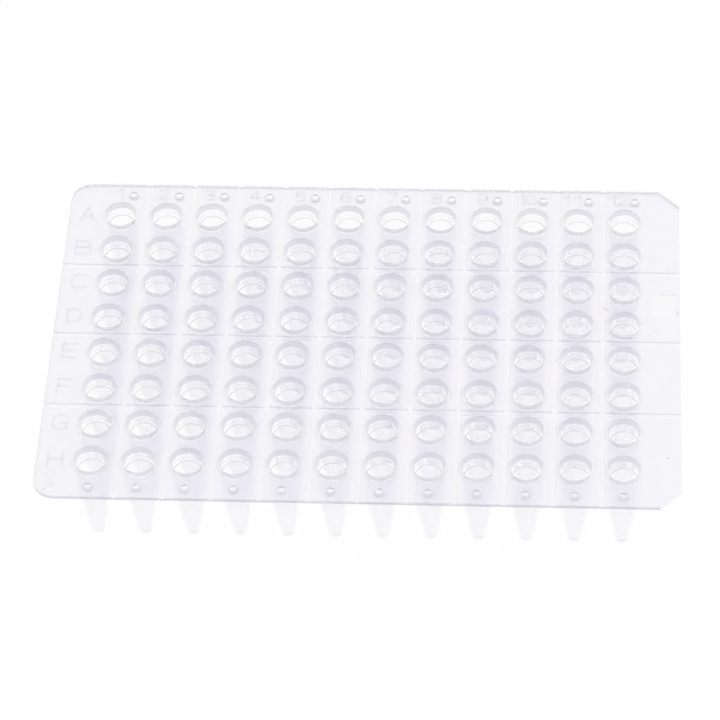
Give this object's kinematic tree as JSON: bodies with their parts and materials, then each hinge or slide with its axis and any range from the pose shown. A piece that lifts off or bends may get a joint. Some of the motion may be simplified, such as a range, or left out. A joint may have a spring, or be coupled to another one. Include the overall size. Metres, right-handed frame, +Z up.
{
  "type": "well plate",
  "caption": "Clear non-skirted PCR well plate: a thin grooved deck with a raised lip round each conical well, rounded corners on the left and cut corners on the right.",
  "frame": {"origin": "middle of the outline's bounding box, at the height of the well tips that the plate stands on", "axes": "+X along the columns, from the rounded corners towards the cut ones, +Y from the last row towards the first, +Z up, out of the wells"},
  "size_m": [0.12, 0.0802, 0.021],
  "materials": {
    "clear_polypropylene": "clear, smooth moulded polypropylene with a faint milky tint"
  },
  "bodies": {
    "root": {"well_plate": "clear_polypropylene"}
  },
  "joints": []
}
